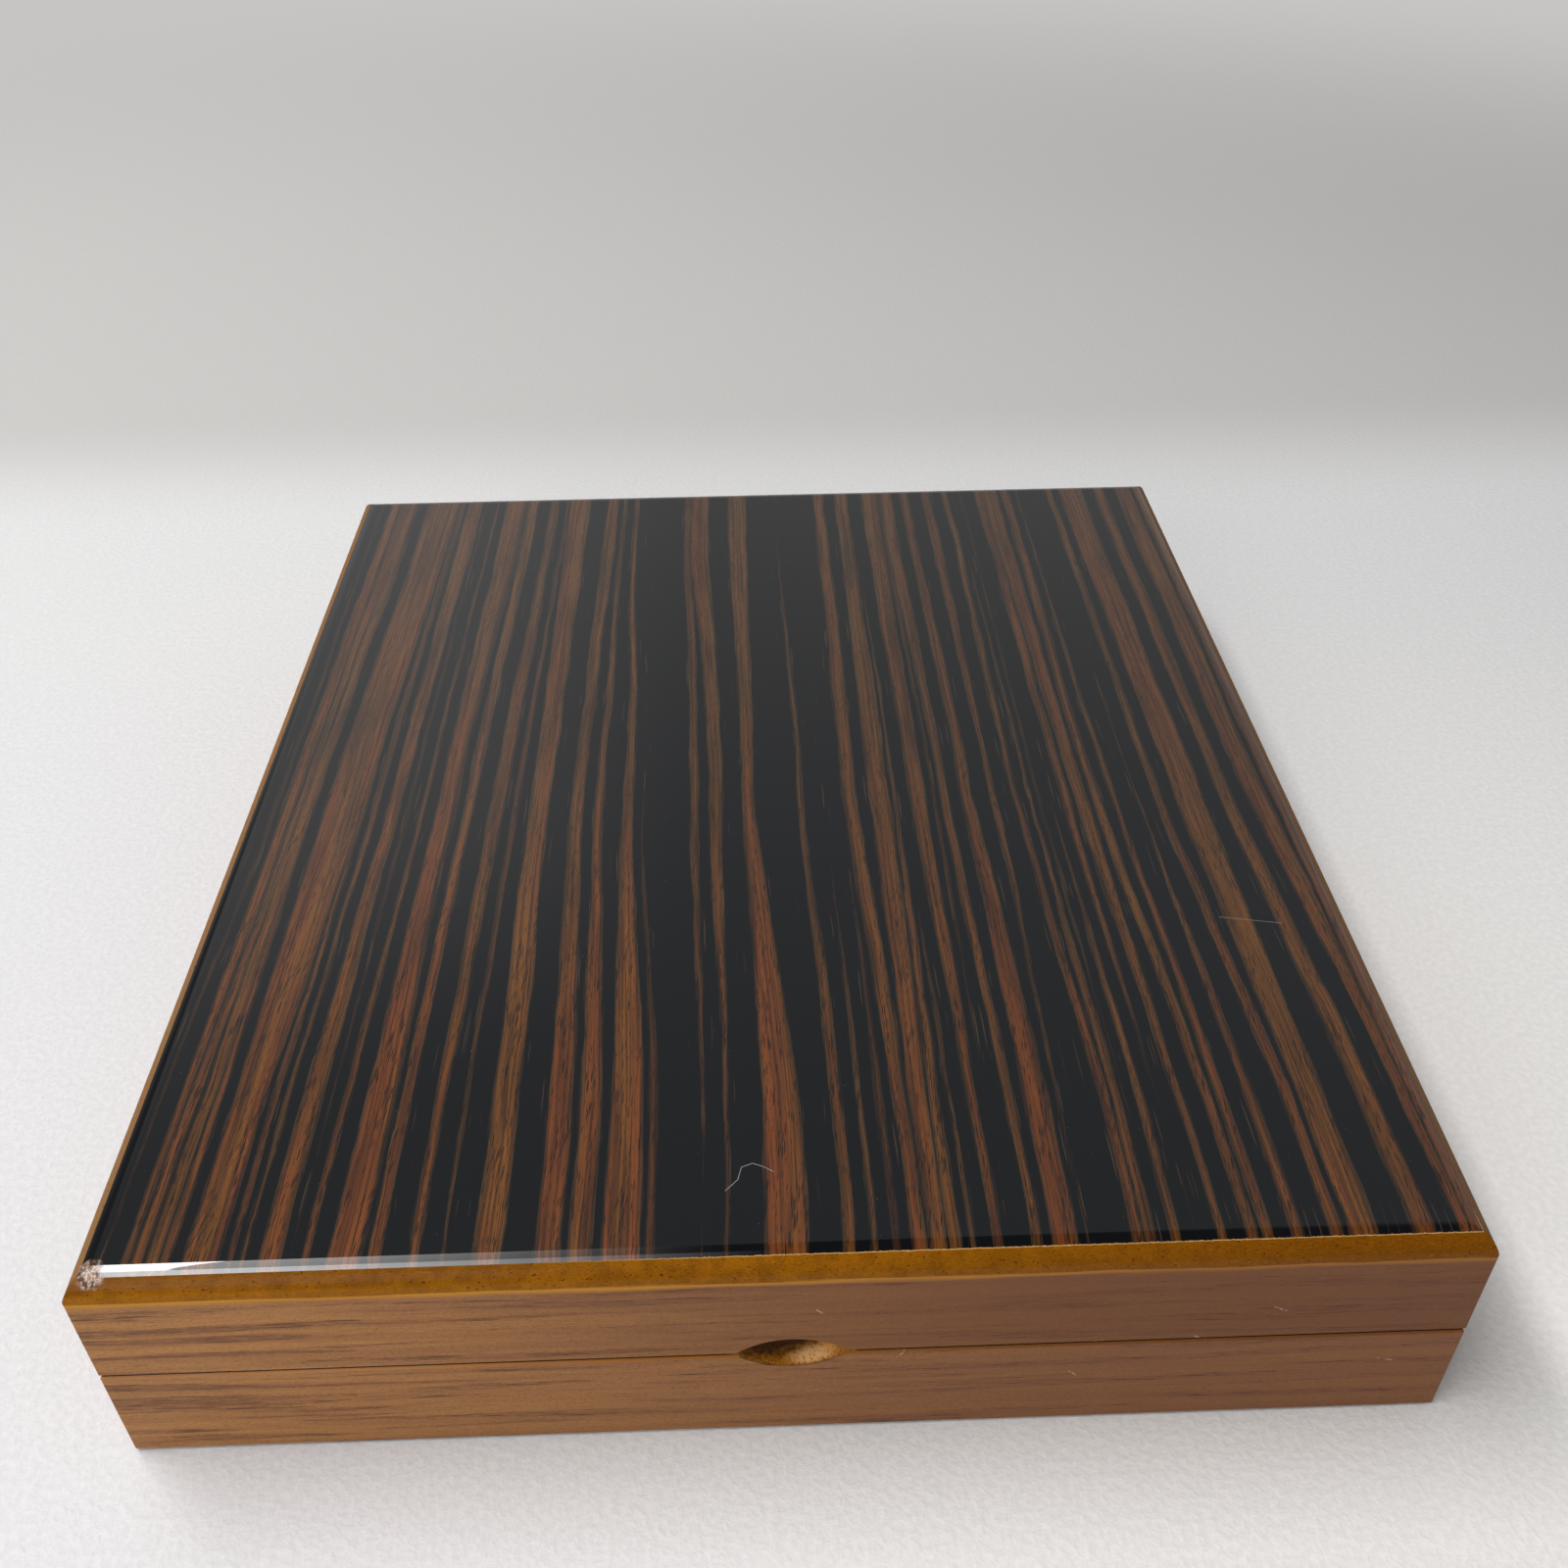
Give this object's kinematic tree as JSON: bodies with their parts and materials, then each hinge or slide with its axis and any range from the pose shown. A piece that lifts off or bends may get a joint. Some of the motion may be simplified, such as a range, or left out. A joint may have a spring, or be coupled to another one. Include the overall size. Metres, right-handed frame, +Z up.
{
  "type": "cigar humidor",
  "caption": "Flat rectangular wooden humidor box with a striped lacquered lid hinged at the back, a cedar lining with a sealing lip, a divider, a hanging humidifier and a dial hygrometer.",
  "frame": {"origin": "on the table plane, under the middle of the wooden box (the hinge barrels behind it left out)", "axes": "+X to the right as seen from the front, +Y to the hinged back, +Z up; the thumb notch is at -Y"},
  "size_m": [0.254, 0.2977, 0.0528],
  "materials": {
    "lacquered_ebony": "striped dark veneer under thick clear gloss lacquer",
    "walnut_veneer": "satin, fine grain along the length",
    "stained_fibreboard": "ochre-stained fibreboard under satin lacquer",
    "cedar": "bare sanded cedar",
    "green_felt": "pressed felt",
    "hinge_brass": "polished, lightly worn",
    "bezel_brass": "polished",
    "bright_steel": "plated",
    "black_plastic": "fine moulded texture",
    "humidifier_foam": "open-cell foam",
    "sensing_coil": "dull strip",
    "clear_glass": "clear polished",
    "dial_plate": "cream enamel with plain printed scale",
    "needle_black": "black enamel"
  },
  "bodies": {
    "base": {"base_back_liner": "cedar", "base_back_veneer": "walnut_veneer", "base_back_wall": "stained_fibreboard", "base_bottom_panel": "stained_fibreboard", "base_felt": "green_felt", "base_floor_liner": "cedar", "base_front_liner": "cedar", "base_front_veneer": "walnut_veneer", "base_front_wall": "stained_fibreboard", "base_left_liner": "cedar", "base_left_veneer": "walnut_veneer", "base_left_wall": "stained_fibreboard", "base_right_liner": "cedar", "base_right_veneer": "walnut_veneer", "base_right_wall": "stained_fibreboard", "left_hinge_base_leaf": "hinge_brass", "left_hinge_base_screws": "hinge_brass", "left_hinge_pin": "hinge_brass", "right_hinge_base_leaf": "hinge_brass", "right_hinge_base_screws": "hinge_brass", "right_hinge_pin": "hinge_brass"},
    "lid": {"lid_back_liner": "cedar", "lid_back_veneer": "walnut_veneer", "lid_back_wall": "stained_fibreboard", "lid_ceiling_liner": "cedar", "lid_front_liner": "cedar", "lid_front_veneer": "walnut_veneer", "lid_front_wall": "stained_fibreboard", "lid_left_liner": "cedar", "lid_left_veneer": "walnut_veneer", "lid_left_wall": "stained_fibreboard", "lid_right_liner": "cedar", "lid_right_veneer": "walnut_veneer", "lid_right_wall": "stained_fibreboard", "lid_top_panel": "stained_fibreboard", "lid_top_veneer": "lacquered_ebony", "left_hinge_lid_leaf": "hinge_brass", "right_hinge_lid_leaf": "hinge_brass", "left_hinge_lid_screws": "hinge_brass", "right_hinge_lid_screws": "hinge_brass", "keeper_discs": "bright_steel", "hygrometer_case": "bright_steel", "hygrometer_coil": "sensing_coil", "hygrometer_bezel": "bezel_brass", "hygrometer_lens": "clear_glass", "hygrometer_dial": "dial_plate"},
    "divider": {"divider": "cedar"},
    "humidifier": {"humidifier_case": "black_plastic", "humidifier_cover": "black_plastic", "humidifier_foam": "humidifier_foam", "humidifier_magnets": "bright_steel"},
    "needle": {"hygrometer_needle": "needle_black", "hygrometer_arbor": "bright_steel"}
  },
  "joints": [
    {"name": "lid_hinge", "type": "hinge", "parent": "base", "child": "lid", "pos_m": [0, 0.149, 0.02595], "axis": [-1, 0, 0], "range_deg": [0, 95]},
    {"name": "divider_slide", "type": "slide", "parent": "base", "child": "divider", "axis": [1, 0, 0], "range_m": [-0.045, 0.04]},
    {"name": "humidifier_pull_off", "type": "slide", "parent": "lid", "child": "humidifier", "axis": [0, 0, -1], "range_m": [0, 0.02]},
    {"name": "needle_turn", "type": "hinge", "parent": "lid", "child": "needle", "pos_m": [-0.06, 0, 0.0428], "axis": [0, 0, 1], "range_deg": [-189, 81], "stiffness_Nm_per_rad": 0.00002}
  ]
}
